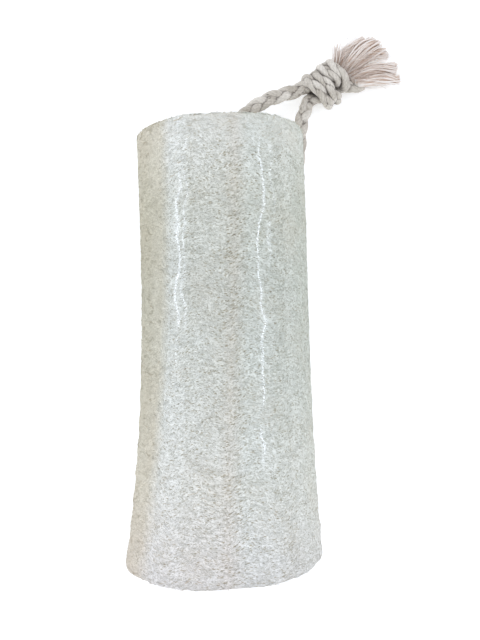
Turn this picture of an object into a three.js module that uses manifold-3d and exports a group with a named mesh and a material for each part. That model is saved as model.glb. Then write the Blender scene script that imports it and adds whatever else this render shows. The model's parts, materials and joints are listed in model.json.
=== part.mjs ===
// A natural loofah sponge with the plaited cotton cord it hangs up by, lying on a table.
// Millimetres, +Z up. The sponge lies along Y with its rope end towards +Y.
// The origin is on the table, under the middle of the sponge.

import * as THREE from 'three';
import { mergeVertices } from 'three/addons/utils/BufferGeometryUtils.js';
import Module from 'manifold-3d';

// Sponge: a length of dried gourd, thicker at one end, cut off at both ends.
const ROPE_END_Y = 76.5;
const THICK_END_Y = -76.3;
const ROPE_END_SKEW = 0.04; // both ends are cut a little askew
const THICK_END_SKEW = 0.045;
const ASIDE = 0.5; // the gourd's slight bend sideways, as a parabola along Y
const LEAN = -0.012;
const BOW = -0.0002;
const NECK_RADIUS = 29.4;
const FLARE = 4.0; // extra radius at the thick end
const FLARE_FROM_Y = 40;
const FLARE_LENGTH = 107;
const FLARE_POWER = 2.6;
const PRESSED_IN = 0.8; // how far its own weight flattens the underside
const RIM = 2.9; // rounding of the cut edges

// The raised net of fibres on its surface, coarser than the real one.
const NET_COLUMNS = 54;
const NET_ROWS = 50;
const NET_CELL = 3; // columns and rows between two crossings of the net
const NET_DEPTH = 0.9;
const NET_WANDER = 0.42; // how far a crossing strays, as a share of the spacing
const REST_SPOT_Y = 9; // half length of the smooth flat spot that it rests on

// The three seed cavities that run from end to end round the core.
const CAVITY_ANGLES = [-70, 50, 170];
const CAVITY_FROM_AXIS = 14.6;
const CAVITY_HALF_DEPTH = 6.4;
const CAVITY_HALF_WIDTH = 8.8;
const CAVITY_SIDES = 14;
const CAVITY_STEPS = 12;
const CAVITY_WAVE = 0.5;

// The cord: three plaited cotton strands, here as one round tube.
const CORD_DIAMETER = 5.4;
const CORD_SIDES = 10;
const CORD_STEPS = 36;
const GAP = 0.3; // between solids that touch in the real thing

// The middle of the cord from one side of the knot, through the sponge and back to the knot.
const CORD_ROUTE = [
  [30.2, 97.0, 7.9],
  [26.6, 95.4, 8.4],
  [22.2, 93.8, 9.6],
  [17.6, 92.0, 11.2],
  [13.0, 89.5, 12.7],
  [8.8, 86.4, 13.8],
  [5.4, 82.6, 14.4],
  [3.2, 77.8, 14.6],
  [2.2, 72.0, 14.8],
  [3.0, 66.2, 15.0],
  [6.2, 61.2, 15.4],
  [11.4, 58.2, 15.6],
  [17.2, 57.8, 15.2],
  [22.4, 59.8, 14.0],
  [25.9, 63.9, 12.4],
  [27.4, 69.4, 11.0],
  [27.9, 75.2, 10.2],
  [28.4, 80.8, 9.2],
  [29.3, 85.4, 8.0],
  [30.5, 89.4, 7.0],
];

// The knot: an overhand knot tied in both sides of the cord at once, pulled tight.
const KNOT_CENTRE = [38.3, 97.5, 7.8];
const KNOT_HEADING = 33; // degrees from +X, from the loop towards the frayed ends
const KNOT_ROLL = 60;
const KNOT_SHORTENING = 0.72; // how far the turns are pressed together
const KNOT_WIDENING = 0.99; // across
const KNOT_FLATTENING = 0.84; // in height
const KNOT_CORD_DIAMETER = 4.5; // the cord pulled thin in the knot
const KNOT_LEAD = 2.4; // how far the cord runs on straight before it turns into the knot
const KNOT_SIDES = 8;
const KNOT_STEPS = 38;
// Along the knot, how far each side of the pair is moved along, out from the axis,
// degrees round the axis, and how far each side of the pair is moved round.
const KNOT_TURNS = [
  [-4.5, 0, 2.75, 90, 45],
  [-1.0, 0, 2.75, 90, 45],
  [3.5, 0, 2.75, 90, 45],
  [6.6, 1.6, 4.1, 72, 26],
  [5.8, 2.2, 5.9, 26, 9],
  [4.5, 2.3, 6.4, -14, 0],
  [3.3, 2.3, 6.3, -62, 0],
  [2.0, 2.3, 6.3, -110, 0],
  [0.7, 2.3, 6.3, -160, 0],
  [-0.7, 2.3, 6.3, -210, 0],
  [-2.0, 2.3, 6.3, -260, 0],
  [-3.3, 2.3, 6.3, -308, 0],
  [-4.5, 2.3, 6.4, -356, 0],
  [-5.8, 2.2, 5.9, -396, 9],
  [-6.6, 1.6, 4.1, -442, 26],
  [-3.5, 0, 2.75, -450, 45],
  [2.0, 0, 2.75, -450, 45],
  [7.5, 0, 2.75, -450, 45],
];

// The frayed ends past the knot: loose yarns that spread into a flat brush on the table.
const TASSEL_ROOT = [45.2, 100.6, 6.2];
const TASSEL_HEADING = 32;
const TASSEL_ROOT_WIDTH = 7.8;
const TASSEL_ROOT_DIAMETER = 6.0;
const TASSEL_YARNS = 48;
const TASSEL_YARN_DIAMETER = 1.2;
const TASSEL_SIDES = 3;
const TASSEL_STEPS = 4;
const TASSEL_FAN = [74, -5]; // degrees from +X to the tips, from one edge of the brush to the other
const TASSEL_OPENING = 1.4; // how much wider than that the yarns leave the root
const TASSEL_LENGTHS = [15.8, 21.0];
const TASSEL_TIP_HEIGHT = 7.0;

const SPONGE_COLOUR = '#cdcabd';
const CORD_COLOUR = '#cfc6ba';

const wasm = await Module();
wasm.setup();

const radians = THREE.MathUtils.degToRad;
const clamp = THREE.MathUtils.clamp;
const lerp = THREE.MathUtils.lerp;

// A repeatable number between 0 and 1 for each n.
function chance(n) {
  const scrambled = Math.sin(n * 127.1 + 11.7) * 43758.5453;
  return scrambled - Math.floor(scrambled);
}

// A closed geometry as a solid for joining and cutting.
function solid(geometry) {
  const bare = geometry.clone();
  bare.deleteAttribute('normal');
  bare.deleteAttribute('uv');
  const merged = mergeVertices(bare, 1e-4);
  return new wasm.Manifold(new wasm.Mesh({
    numProp: 3,
    vertProperties: new Float32Array(merged.attributes.position.array),
    triVerts: new Uint32Array(merged.index.array),
  }));
}

// A solid back as a geometry.
function geometryOf(shape) {
  const mesh = shape.getMesh();
  const geometry = new THREE.BufferGeometry();
  geometry.setAttribute('position', new THREE.BufferAttribute(new Float32Array(mesh.vertProperties), 3));
  geometry.setIndex(new THREE.BufferAttribute(new Uint32Array(mesh.triVerts), 1));
  geometry.computeVertexNormals();
  return geometry;
}

// Rings of points joined one to the next, each end closed by a fan.
// slantsUp says which way a four-cornered cell is split.
function skin(rings, slantsUp = () => true) {
  const sides = rings[0].length;
  const points = rings.flat();
  const faces = [];
  for (let row = 0; row + 1 < rings.length; row += 1) {
    for (let column = 0; column < sides; column += 1) {
      const a = row * sides + column;
      const b = row * sides + (column + 1) % sides;
      const c = b + sides;
      const d = a + sides;
      if (slantsUp(column, row)) {
        faces.push(a, c, b, a, d, c);
      } else {
        faces.push(a, d, b, b, d, c);
      }
    }
  }
  const start = points.length;
  const last = (rings.length - 1) * sides;
  points.push(middle(rings[0]), middle(rings.at(-1)));
  for (let column = 0; column < sides; column += 1) {
    const next = (column + 1) % sides;
    faces.push(start, column, next);
    faces.push(start + 1, last + next, last + column);
  }
  const geometry = new THREE.BufferGeometry().setFromPoints(points);
  geometry.setIndex(faces);
  return geometry;
}

function middle(ring) {
  const sum = new THREE.Vector3();
  ring.forEach((point) => sum.add(point));
  return sum.divideScalar(ring.length);
}

function smoothCurve(points) {
  const vectors = points.map((point) => new THREE.Vector3(...point));
  return new THREE.CatmullRomCurve3(vectors, false, 'centripetal');
}

// A round tube along a curve.
function tube(curve, diameter, sides, steps) {
  const section = new THREE.Shape();
  for (let side = 0; side < sides; side += 1) {
    const angle = (side / sides) * 2 * Math.PI;
    const x = (diameter / 2) * Math.cos(angle);
    const y = (diameter / 2) * Math.sin(angle);
    if (side === 0) {
      section.moveTo(x, y);
    } else {
      section.lineTo(x, y);
    }
  }
  section.closePath();
  return new THREE.ExtrudeGeometry(section, { steps, extrudePath: curve, bevelEnabled: false });
}

// Radius of the sponge at a place along it, before its lobes and net.
function spongeRadius(y) {
  const thickening = clamp((FLARE_FROM_Y - y) / FLARE_LENGTH, 0, 1.08);
  return NECK_RADIUS + FLARE * thickening ** FLARE_POWER;
}

// The sponge's own middle line keeps its underside straight along the table.
function axisHeight(y) {
  return spongeRadius(y) - PRESSED_IN;
}

function axisX(y) {
  return ASIDE + LEAN * y + BOW * y ** 2;
}

// The gourd's blunt ribs, which run its whole length.
function ribs(turn, y) {
  return 0.55 * Math.cos(6 * turn - radians(330)) + 0.3 * Math.cos(11 * turn + 1.3 + y / 90);
}

// True where a node of the grid lies on a ridge of the diamond net.
function onRidge(column, row) {
  return (column + row) % NET_CELL === 0 || (column - row + NET_ROWS * NET_CELL) % NET_CELL === 0;
}

// One ring of the sponge's outside.
function spongeRing(row, along, inset, netted) {
  const ring = [];
  for (let column = 0; column < NET_COLUMNS; column += 1) {
    const seed = row * NET_COLUMNS + column;
    const strayTurn = netted ? NET_WANDER * (chance(seed) - 0.5) : 0;
    const strayRow = netted ? NET_WANDER * (chance(seed + 0.37) - 0.5) : 0;
    const turn = ((column + strayTurn) / NET_COLUMNS) * 2 * Math.PI;
    const share = along + strayRow / NET_ROWS;
    const side = Math.cos(turn) * spongeRadius(0);
    const thickEnd = THICK_END_Y + THICK_END_SKEW * side;
    const ropeEnd = ROPE_END_Y + ROPE_END_SKEW * side;
    const y = lerp(thickEnd, ropeEnd, share);
    const dip = netted && !onRidge(column, row) ? NET_DEPTH * (0.8 + 0.4 * chance(seed + 0.71)) : 0;
    const radius = spongeRadius(y) + ribs(turn, y) - dip - inset;
    const x = axisX(y) + radius * Math.cos(turn);
    const onRest = Math.abs(y) < REST_SPOT_Y ? NET_DEPTH * 1.3 : 0;
    const z = axisHeight(y) + radius * Math.sin(turn);
    const level = Math.sin(turn) < -0.9 && z < onRest ? 0 : Math.max(z, 0);
    ring.push(new THREE.Vector3(x, y, level));
  }
  return ring;
}

// The sponge's outside, with rounded rims and flat cut ends.
function spongeSkin() {
  const length = ROPE_END_Y - THICK_END_Y;
  const rimShare = RIM / length;
  const corner = [90, 60, 30].map(radians);
  const rings = [];
  corner.forEach((angle) => {
    rings.push(spongeRing(0, rimShare * (1 - Math.sin(angle)), RIM * (1 - Math.cos(angle)), false));
  });
  for (let row = 0; row <= NET_ROWS; row += 1) {
    const share = lerp(rimShare, 1 - rimShare, row / NET_ROWS);
    rings.push(spongeRing(row, share, 0, row > 0 && row < NET_ROWS));
  }
  corner.reverse().forEach((angle) => {
    rings.push(spongeRing(0, 1 - rimShare * (1 - Math.sin(angle)), RIM * (1 - Math.cos(angle)), false));
  });
  const slants = (column, ring) => {
    const row = ring - corner.length;
    return (column - row + NET_ROWS * NET_CELL) % NET_CELL === 0
      || (column + row + 1) % NET_CELL !== 0;
  };
  return skin(rings, slants);
}

// One seed cavity, open at both ends and slightly wavy along its length.
function cavity(degrees, index) {
  const angle = radians(degrees);
  const rings = [];
  for (let step = 0; step <= CAVITY_STEPS; step += 1) {
    const y = lerp(THICK_END_Y - 8, ROPE_END_Y + 4, step / CAVITY_STEPS);
    const wave = CAVITY_WAVE * Math.sin(y / 13 + index * 2.1);
    const out = CAVITY_FROM_AXIS + wave;
    const centreX = axisX(y) + out * Math.cos(angle);
    const centreZ = axisHeight(y) + out * Math.sin(angle);
    const ring = [];
    for (let side = 0; side < CAVITY_SIDES; side += 1) {
      const turn = (side / CAVITY_SIDES) * 2 * Math.PI;
      const depth = CAVITY_HALF_DEPTH * Math.cos(turn);
      const width = (CAVITY_HALF_WIDTH - wave) * Math.sin(turn);
      const x = centreX + depth * Math.cos(angle) - width * Math.sin(angle);
      const z = centreZ + depth * Math.sin(angle) + width * Math.cos(angle);
      ring.push(new THREE.Vector3(x, y, z));
    }
    rings.push(ring);
  }
  return skin(rings);
}

function loofahBody(cordCurve) {
  let body = solid(spongeSkin());
  CAVITY_ANGLES.forEach((degrees, index) => {
    body = body.subtract(solid(cavity(degrees, index)));
  });
  const hole = tube(cordCurve, CORD_DIAMETER + 2 * GAP, CORD_SIDES, CORD_STEPS);
  return geometryOf(body.subtract(solid(hole)));
}

// Where the cord goes on into the knot: straight on, from a gap beyond one end of its route.
function knotEntry(end, before) {
  const point = new THREE.Vector3(...end);
  const onward = point.clone().sub(new THREE.Vector3(...before)).normalize();
  return [GAP, KNOT_LEAD].map((distance) => point.clone().addScaledVector(onward, distance));
}

// The way of one side of the pair through the knot. side is 1 or -1.
function knotCurve(side) {
  const toWorld = new THREE.Matrix4().makeTranslation(...KNOT_CENTRE);
  toWorld.multiply(new THREE.Matrix4().makeRotationZ(radians(KNOT_HEADING)));
  toWorld.multiply(new THREE.Matrix4().makeScale(KNOT_SHORTENING, KNOT_WIDENING, KNOT_FLATTENING));
  toWorld.multiply(new THREE.Matrix4().makeRotationX(radians(KNOT_ROLL)));
  const points = KNOT_TURNS.map(([along, shift, out, degrees, spread]) => {
    const turn = radians(degrees + side * spread);
    const point = new THREE.Vector3(along + side * shift, out * Math.cos(turn), out * Math.sin(turn));
    return point.applyMatrix4(toWorld);
  });
  const entry = side < 0
    ? knotEntry(CORD_ROUTE[0], CORD_ROUTE[1])
    : knotEntry(CORD_ROUTE.at(-1), CORD_ROUTE.at(-2));
  return new THREE.CatmullRomCurve3([...entry, ...points], false, 'centripetal');
}

function overhandKnot(diameter) {
  const [first, second] = [1, -1].map((side) => {
    return solid(tube(knotCurve(side), diameter, KNOT_SIDES, KNOT_STEPS));
  });
  return first.add(second);
}

// A point beside the tassel's root, across the way the cord leaves the knot.
function besideRoot(across, lift) {
  const leaving = radians(TASSEL_HEADING);
  return new THREE.Vector3(
    TASSEL_ROOT[0] - across * Math.sin(leaving),
    TASSEL_ROOT[1] + across * Math.cos(leaving),
    TASSEL_ROOT[2] + lift,
  );
}

// One loose yarn of the frayed ends, from the root out to its tip.
function yarn(index) {
  const across = (index + 0.5) / TASSEL_YARNS;
  const layer = (index * 0.618) % 1;
  const stray = 8 * (chance(index) - 0.5);
  const heading = lerp(TASSEL_FAN[0], TASSEL_FAN[1], across) + stray;
  const opening = radians(lerp(TASSEL_HEADING, heading, TASSEL_OPENING));
  const reach = lerp(TASSEL_LENGTHS[0], TASSEL_LENGTHS[1], across) * (0.94 + 0.1 * chance(index + 0.5));
  const start = besideRoot((0.5 - across) * TASSEL_ROOT_WIDTH, (layer - 0.5) * 0.6 * TASSEL_ROOT_DIAMETER);
  const tip = besideRoot(0, 0);
  tip.x += reach * Math.cos(radians(heading));
  tip.y += reach * Math.sin(radians(heading));
  tip.z = TASSEL_YARN_DIAMETER / 2 + 0.1 + layer * TASSEL_TIP_HEIGHT;
  const bend = start.clone();
  bend.x += 0.45 * reach * Math.cos(opening);
  bend.y += 0.45 * reach * Math.sin(opening);
  bend.z = lerp(start.z, tip.z, 0.4) + 1;
  const curve = new THREE.QuadraticBezierCurve3(start, bend, tip);
  return tube(curve, TASSEL_YARN_DIAMETER, TASSEL_SIDES, TASSEL_STEPS);
}

function frayedTassel() {
  const half = TASSEL_ROOT_WIDTH / 2;
  const rootCurve = new THREE.LineCurve3(besideRoot(-half, 0), besideRoot(half, 0));
  let tassel = solid(tube(rootCurve, TASSEL_ROOT_DIAMETER, CORD_SIDES, 1));
  for (let index = 0; index < TASSEL_YARNS; index += 1) {
    tassel = tassel.add(solid(yarn(index)));
  }
  const clear = tassel.subtract(overhandKnot(KNOT_CORD_DIAMETER + 2 * GAP));
  return largestOf(clear);
}

// The knot clear of the cord that leads into it. The pair touches itself in many places:
// the slivers and the shut-in spaces there are left out.
function clearKnot(cordCurve) {
  const cord = solid(tube(cordCurve, CORD_DIAMETER + 2 * GAP, CORD_SIDES, CORD_STEPS));
  const clear = largestOf(overhandKnot(KNOT_CORD_DIAMETER).subtract(cord));
  return largestOf(solid(geometryOf(clear)));
}

function largestOf(shape) {
  return shape.decompose().reduce((best, piece) => (piece.volume() > best.volume() ? piece : best));
}

function sponge() {
  return new THREE.MeshStandardMaterial({ color: SPONGE_COLOUR, roughness: 0.9, metalness: 0 });
}

function cotton() {
  return new THREE.MeshStandardMaterial({ color: CORD_COLOUR, roughness: 0.95, metalness: 0 });
}

function named(name, geometry, material) {
  const mesh = new THREE.Mesh(geometry, material);
  mesh.name = name;
  return mesh;
}

const cordCurve = smoothCurve(CORD_ROUTE);

const loofah = new THREE.Group();
loofah.add(named('loofah_body', loofahBody(cordCurve), sponge()));
loofah.add(named('hanging_cord', tube(cordCurve, CORD_DIAMETER, CORD_SIDES, CORD_STEPS), cotton()));
loofah.add(named('overhand_knot', geometryOf(clearKnot(cordCurve)), cotton()));
loofah.add(named('frayed_tassel', geometryOf(frayedTassel()), cotton()));

export default loofah;
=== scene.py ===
import json
import math
from functools import partial

import bpy
import numpy as np
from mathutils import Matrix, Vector
from mathutils.bvhtree import BVHTree

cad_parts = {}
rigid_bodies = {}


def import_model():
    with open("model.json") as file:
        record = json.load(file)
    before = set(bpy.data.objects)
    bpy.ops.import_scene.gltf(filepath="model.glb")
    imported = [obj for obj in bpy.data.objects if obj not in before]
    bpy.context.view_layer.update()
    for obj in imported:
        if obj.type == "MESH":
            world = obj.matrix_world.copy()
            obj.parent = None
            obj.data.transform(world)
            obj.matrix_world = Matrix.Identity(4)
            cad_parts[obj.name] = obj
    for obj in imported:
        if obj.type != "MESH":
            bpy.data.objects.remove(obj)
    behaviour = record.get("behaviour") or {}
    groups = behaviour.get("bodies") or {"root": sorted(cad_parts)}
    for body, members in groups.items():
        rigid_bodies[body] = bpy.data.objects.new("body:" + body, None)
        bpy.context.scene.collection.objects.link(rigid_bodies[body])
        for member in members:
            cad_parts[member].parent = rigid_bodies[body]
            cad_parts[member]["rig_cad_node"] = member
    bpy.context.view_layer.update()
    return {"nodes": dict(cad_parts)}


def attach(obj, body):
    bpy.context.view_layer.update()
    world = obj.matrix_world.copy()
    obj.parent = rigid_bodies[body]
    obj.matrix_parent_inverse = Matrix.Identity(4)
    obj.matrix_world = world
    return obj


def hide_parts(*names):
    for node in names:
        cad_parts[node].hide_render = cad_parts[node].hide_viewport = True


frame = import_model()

MM = 0.001

# ----------------------------------------
# Camera and studio. The sponge lies on a white paper sweep and is seen from straight
# above. The room is evenly white. A large softbox hangs overhead, one stands at each side,
# and narrow strips beside those draw the streaks of light on the sponge.
CAMERA_PLACE = (5.6 * MM, 8.9 * MM, 342 * MM)
FOCAL_PIXELS = 883
PICTURE_HEIGHT = 640  # pixels
SENSOR_MM = 36
NEAREST_SEEN = 10 * MM
SWEEP_SIZE = 4.0
SWEEP_COLOUR = "#f6f6f5"
SWEEP_GLOW = 0.34
ROOM_COLOUR = "#fbfcff"
ROOM_STRENGTH = 0.68
BOX_COLOUR = "#e4eeff"
BOX_DISTANCE = 0.7
# Name, angle from straight up towards +X in degrees, middle along Y, width, length, brightness.
SOFTBOXES = [
    ("overhead_softbox", 0, 0.12, 1.2, 1.2, 0.68),
    ("left_softbox", -66, 0.0, 0.40, 0.55, 1.3),
    ("right_softbox", 50, -0.16, 0.30, 0.55, 0.9),
    ("left_strip", -63, 0.09, 0.03, 0.24, 13),
    ("inner_left_strip", -54, 0.10, 0.016, 0.22, 12),
    ("right_strip", 48, 0.04, 0.019, 0.30, 17),
    ("outer_right_strip", 62, 0.13, 0.03, 0.06, 8),
]


def linear(hex_colour):
    """The linear colour, with alpha, of an sRGB hex value."""
    parts = [int(hex_colour[i : i + 2], 16) / 255 for i in (1, 3, 5)]
    return [c / 12.92 if c <= 0.04045 else ((c + 0.055) / 1.055) ** 2.4 for c in parts] + [1.0]


def add_node(tree, kind, inputs=(), stops=(), **settings):
    """Adds a shader node with its settings. Each input is a value, or a node or socket to link.

    stops are a colour ramp's: a place and a hex colour each.
    """
    made = tree.nodes.new("ShaderNode" + kind)
    for name, value in settings.items():
        setattr(made, name, value)
    for number, (position, hex_colour) in enumerate(stops):
        if number > 1:
            made.color_ramp.elements.new(position)
        made.color_ramp.elements[number].position = position
        made.color_ramp.elements[number].color = linear(hex_colour)
    for socket, value in inputs.items() if isinstance(inputs, dict) else enumerate(inputs):
        if isinstance(value, bpy.types.Node):
            value = value.outputs[0]
        if isinstance(value, bpy.types.NodeSocket):
            tree.links.new(value, made.inputs[socket])
        else:
            made.inputs[socket].default_value = value
    return made


def new_material(name):
    """An empty material, and add_node for its tree, which is called node from here on."""
    material = bpy.data.materials.new(name)
    material.use_nodes = True
    material.node_tree.nodes.clear()
    return material, partial(add_node, material.node_tree)


bpy.ops.object.select_all(action="DESELECT")
bpy.ops.object.camera_add(location=CAMERA_PLACE)
camera = bpy.context.object
camera.data.sensor_width = SENSOR_MM
camera.data.lens = FOCAL_PIXELS / PICTURE_HEIGHT * SENSOR_MM
camera.data.clip_start = NEAREST_SEEN
bpy.context.scene.camera = camera
bpy.context.scene.view_settings.view_transform = "Standard"

# Matt white paper: even and without a shine, so the sweep has no edge or hot spot.
bpy.ops.mesh.primitive_plane_add(size=SWEEP_SIZE)
sweep = bpy.context.object
sweep.name = "paper_sweep"
paper, node = new_material("matt_white_paper")
surface = {
    "Base Color": linear(SWEEP_COLOUR),
    "Roughness": 0.9,
    "Specular IOR Level": 0.1,
    "Emission Color": linear(SWEEP_COLOUR),
    "Emission Strength": SWEEP_GLOW,
}
node("OutputMaterial", {"Surface": node("BsdfPrincipled", surface)})
sweep.data.materials.append(paper)

room = bpy.data.worlds.new("white_room")
room.use_nodes = True
background = room.node_tree.nodes["Background"].inputs
background["Color"].default_value = linear(ROOM_COLOUR)
background["Strength"].default_value = ROOM_STRENGTH
bpy.context.scene.world = room

for box_name, box_angle, box_middle, box_width, box_length, brightness in SOFTBOXES:
    lean = math.radians(box_angle)
    place = Vector((math.sin(lean), 0, math.cos(lean))) * BOX_DISTANCE
    place.y = box_middle
    bpy.ops.object.light_add(type="AREA", location=place)
    softbox = bpy.context.object
    softbox.name = box_name
    softbox.rotation_euler = (0, lean, 0)
    softbox.data.shape = "RECTANGLE"
    softbox.data.size = box_width
    softbox.data.size_y = box_length
    softbox.data.color = linear(BOX_COLOUR)[:3]
    softbox.data.energy = brightness * math.pi * box_width * box_length
    softbox.visible_camera = False

# ----------------------------------------
# Hanging cord: a limp flat plait of three undyed cotton strands, each laid up from six
# yarns. It leaves the knot, goes in at the sponge's cut end, turns round in it and comes
# out through the side wall.
CORD_DIAMETER = 5.4 * MM
PLAIT_REPEAT = 20 * MM  # one strand's way across and back
STRANDS = 3
STRAND_SIDES = 24
STRAND_STEP = 0.6 * MM
CURVE_STEPS = 16  # between two given points, before they are evened out
# A strand's way aside, its rise and dip and its half width, as shares of the cord's width,
# and its own flatness: first in the free cord, then where the knot squeezes it round.
LOOSE_PLAIT = (0.235, 0.15, 0.29, 0.85)
TIGHT_PLAIT = (0.21, 0.17, 0.3, 1.0)
YARNS_IN_STRAND = 6
YARN_GROOVE = 0.13
YARN_TWIST = 9 * MM  # one turn of a strand's yarns
STRAND_TONES = ([0.5], [0.35], [0.65])
UP = np.array([0.0, 0.0, 1.0])
HAIR_RADIUS = 0.035 * MM
HAIR_TONE = 0.9
HAIR_POINTS = 5
HAIR_LEAN = 0.9  # how far hairs lean off straight out, and how far they curl
HAIR_CURL = 0.3
# Painted shade: the cord, knot and yarns are painted darker in the gaps between them, by how much of a
# short reach round each place is open.
GAP_REACH = 2.2 * MM  # a place is in a gap when there is more cord within this reach
GAP_RAYS = 12
GAP_SHARES = (0.05, 0.86)  # the open shares at which a gap looks deepest, and ends
GOLDEN_TURN = math.pi * (3 - math.sqrt(5))
# Painted shade: the brown that the cotton is darkened to in its gaps.
PAINTED_SHADE_COLOUR = "#4a3725"
CORD_COLOURS = ("#9d9281", "#f7f0e5")
BLOTCH_MM = 4.1667
WHITE = (1, 1, 1, 1)
MULTIPLIED = {"data_type": "RGBA", "blend_type": "MULTIPLY"}
SOFT_COTTON = {"Roughness": 0.9, "Specular IOR Level": 0.2, "Sheen Weight": 0.25, "Sheen Roughness": 0.6}
CORD_ROUTE = [
    [30.2, 97.0, 7.9],
    [26.6, 95.4, 8.4],
    [22.2, 93.8, 9.6],
    [17.6, 92.0, 11.2],
    [13.0, 89.5, 12.7],
    [8.8, 86.4, 13.8],
    [5.4, 82.6, 14.4],
    [3.2, 77.8, 14.6],
    [2.2, 72.0, 14.8],
    [3.0, 66.2, 15.0],
    [6.2, 61.2, 15.4],
    [11.4, 58.2, 15.6],
    [17.2, 57.8, 15.2],
    [22.4, 59.8, 14.0],
    [25.9, 63.9, 12.4],
    [27.4, 69.4, 11.0],
    [27.9, 75.2, 10.2],
    [28.4, 80.8, 9.2],
    [29.3, 85.4, 8.0],
    [30.5, 89.4, 7.0],
]


def unit(vectors):
    """The same directions, each of length 1."""
    return vectors / np.linalg.norm(vectors, axis=-1, keepdims=True)


def distances(points):
    """How far along a line each of its points is."""
    return np.r_[0, np.cumsum(np.linalg.norm(np.diff(points, axis=0), axis=1))]


def even(points, step):
    """A line's points again, at an even step."""
    along = distances(points)
    wanted = np.linspace(0, along[-1], round(along[-1] / step) + 1)
    return np.stack([np.interp(wanted, along, column) for column in points.T], 1)


def smooth_curve(points, step):
    """Even points along a centripetal Catmull-Rom curve through the given ones."""
    points = np.array(points, float)
    line = np.vstack([2 * points[0] - points[1], points, 2 * points[-1] - points[-2]])
    fine = []
    for four in zip(line, line[1:], line[2:], line[3:]):
        steps = [np.linalg.norm(q - p) ** 0.5 for p, q in zip(four, four[1:])]
        times = np.r_[0, np.cumsum(steps)]
        for time in np.linspace(times[1], times[2], CURVE_STEPS, endpoint=False):
            level = list(four)
            for reach in (1, 2):
                level = [
                    ((end - time) * p + (time - start) * q) / (end - start)
                    for start, end, p, q in zip(times, times[reach:], level, level[1:])
                ]
            low, high = level
            share = (time - times[1]) / (times[2] - times[1])
            fine.append((1 - share) * low + share * high)
    fine.append(points[-1])
    return even(np.array(fine), step)


def heading(points):
    """Which way a line runs at each of its points."""
    return unit(np.gradient(points, axis=-2))


def carried_up(points, first_up):
    """An up direction for each point, carried along the line without twist."""
    ups = [np.array(first_up, float)]
    for along in heading(points):
        ups.append(ups[-1] - along * (ups[-1] @ along))
        ups[-1] /= np.linalg.norm(ups[-1])
    return np.array(ups[1:])


def round_outline(sides):
    """A circle of radius 1, as side and up offsets."""
    turn = np.arange(sides) / sides * 2 * np.pi
    return np.stack([np.cos(turn), np.sin(turn)], -1)


def rings_round(points, up, outline):
    """Rings of an outline, given as side and up offsets, round each point of a line or lines."""
    along = heading(points)
    up = unit(up - along * np.sum(up * along, -1, keepdims=True))
    side = np.cross(up, along)
    aside = outline[..., 0:1] * side[..., None, :]
    upward = outline[..., 1:2] * up[..., None, :]
    return points[..., None, :] + aside + upward


def tube_tips(rings):
    """The two points that close each tube of a group, a little past its first and last ring."""
    middles = rings.mean(2)
    thickness = np.linalg.norm(rings[:, :, 0] - middles, axis=-1, keepdims=True)
    first = middles[:, 0] + unit(middles[:, 0] - middles[:, 1]) * thickness[:, 0]
    last = middles[:, -1] + unit(middles[:, -1] - middles[:, -2]) * thickness[:, -1]
    return np.stack([first, last], 1)


def tube_faces(count, sides):
    """One tube's corners, face after face, and how many corners each face has."""
    index = np.arange(count * sides).reshape(count, sides)
    after = np.roll(index, -1, 1)
    walls = np.stack([index[:-1], after[:-1], after[1:], index[1:]], -1).reshape(-1, 4)
    first = np.stack([after[0], index[0], np.full(sides, count * sides)], -1)
    last = np.stack([index[-1], after[-1], np.full(sides, count * sides + 1)], -1)
    corners = np.concatenate([walls.ravel(), first.ravel(), last.ravel()])
    return corners, np.r_[np.full(len(walls), 4), np.full(2 * sides, 3)]


def tube_wraps(rings, corners):
    """A group's UV places: u is 0 to 1 round each tube, and v is in millimetres along it."""
    tubes, count, sides = rings.shape[:3]
    steps = np.linalg.norm(np.diff(rings.mean(2), axis=1), axis=-1)
    lengths = np.concatenate([np.zeros((tubes, 1)), np.cumsum(steps, 1)], 1)
    ring_of = np.minimum(corners // sides, count - 1)
    ring_of[corners == count * sides] = 0
    side_of = np.where(corners < count * sides, corners % sides, 0).astype(float)
    walls = side_of[: (count - 1) * sides * 4].reshape(-1, 4)
    walls[:, 1:3][walls[:, 1:3] == 0] = sides  # the last wall ends at 1, not back at 0
    around = np.tile(side_of / sides, (tubes, 1))
    return np.stack([around, lengths[:, ring_of] / MM], -1).reshape(-1, 2)


def tubes_object(name, groups, tones):
    """One object of closed tubes. A group is an array of tubes, rings, sides and x, y, z.

    tones has a list for each group, with one value a tube.
    """
    parts, start = [], 0
    for rings, tone in zip(groups, tones):
        tubes, count, sides = rings.shape[:3]
        tube_size = count * sides + 2
        tube_corners, face_sizes = tube_faces(count, sides)
        shift = start + np.arange(tubes)[:, None] * tube_size
        places = np.concatenate([rings.reshape(tubes, -1, 3), tube_tips(rings)], 1)
        corners = (tube_corners[None] + shift).ravel()
        shades = np.repeat(tone, tube_size)
        wraps = tube_wraps(rings, tube_corners)
        parts.append((places.reshape(-1, 3), corners, np.tile(face_sizes, tubes), shades, wraps))
        start += tubes * tube_size
    vertices, corners, sizes, shades, wraps = [np.concatenate(column) for column in zip(*parts)]
    mesh = bpy.data.meshes.new(name)
    mesh.vertices.add(len(vertices))
    mesh.vertices.foreach_set("co", vertices.astype(np.float32).ravel())
    mesh.loops.add(len(corners))
    mesh.loops.foreach_set("vertex_index", corners.astype(np.int32))
    mesh.polygons.add(len(sizes))
    mesh.polygons.foreach_set("loop_start", np.r_[0, np.cumsum(sizes)[:-1]].astype(np.int32))
    mesh.update(calc_edges=True)
    mesh.uv_layers.new(name="around_and_along")
    mesh.uv_layers[0].uv.foreach_set("vector", wraps.astype(np.float32).ravel())
    mesh.attributes.new("tone", "FLOAT", "POINT")
    mesh.attributes["tone"].data.foreach_set("value", shades.astype(np.float32))
    mesh.shade_smooth()
    made = bpy.data.objects.new(name, mesh)
    bpy.context.scene.collection.objects.link(made)
    return made


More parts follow.
